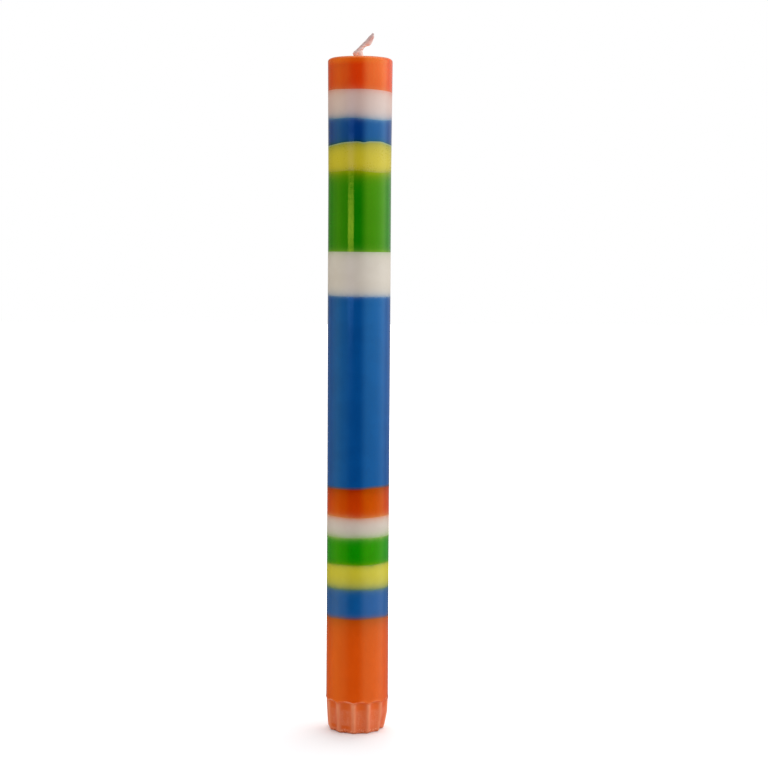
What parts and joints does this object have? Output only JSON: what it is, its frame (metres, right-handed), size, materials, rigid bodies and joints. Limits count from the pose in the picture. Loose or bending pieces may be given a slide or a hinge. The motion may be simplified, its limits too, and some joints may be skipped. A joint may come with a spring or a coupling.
{
  "type": "taper candle",
  "caption": "Straight dinner candle of coloured wax bands poured round a plaited wick, with a fluted foot that fits a candlestick socket.",
  "frame": {"origin": "centre of the foot's flat end, on the candle's axis", "axes": "+Z along the candle's axis from the foot to the wick; +X the way the wick's free end slopes; -Y the front"},
  "size_m": [0.024, 0.024, 0.2599],
  "materials": {
    "orange_wax": "satin, slightly translucent wax",
    "blue_wax": "satin, slightly translucent wax",
    "yellow_wax": "satin, slightly translucent wax",
    "green_wax": "satin, slightly translucent wax",
    "white_wax": "satin, slightly translucent wax",
    "cotton_wick": "plaited cotton stiffened with wax"
  },
  "bodies": {
    "root": {"foot_band_orange": "orange_wax", "lower_band_blue": "blue_wax", "lower_band_yellow": "yellow_wax", "lower_band_green": "green_wax", "lower_band_white": "white_wax", "lower_band_orange": "orange_wax", "middle_band_blue": "blue_wax", "middle_band_white": "white_wax", "upper_band_green": "green_wax", "upper_band_yellow": "yellow_wax", "upper_band_blue": "blue_wax", "upper_band_white": "white_wax", "tip_band_orange": "orange_wax", "wick": "cotton_wick"}
  },
  "joints": []
}
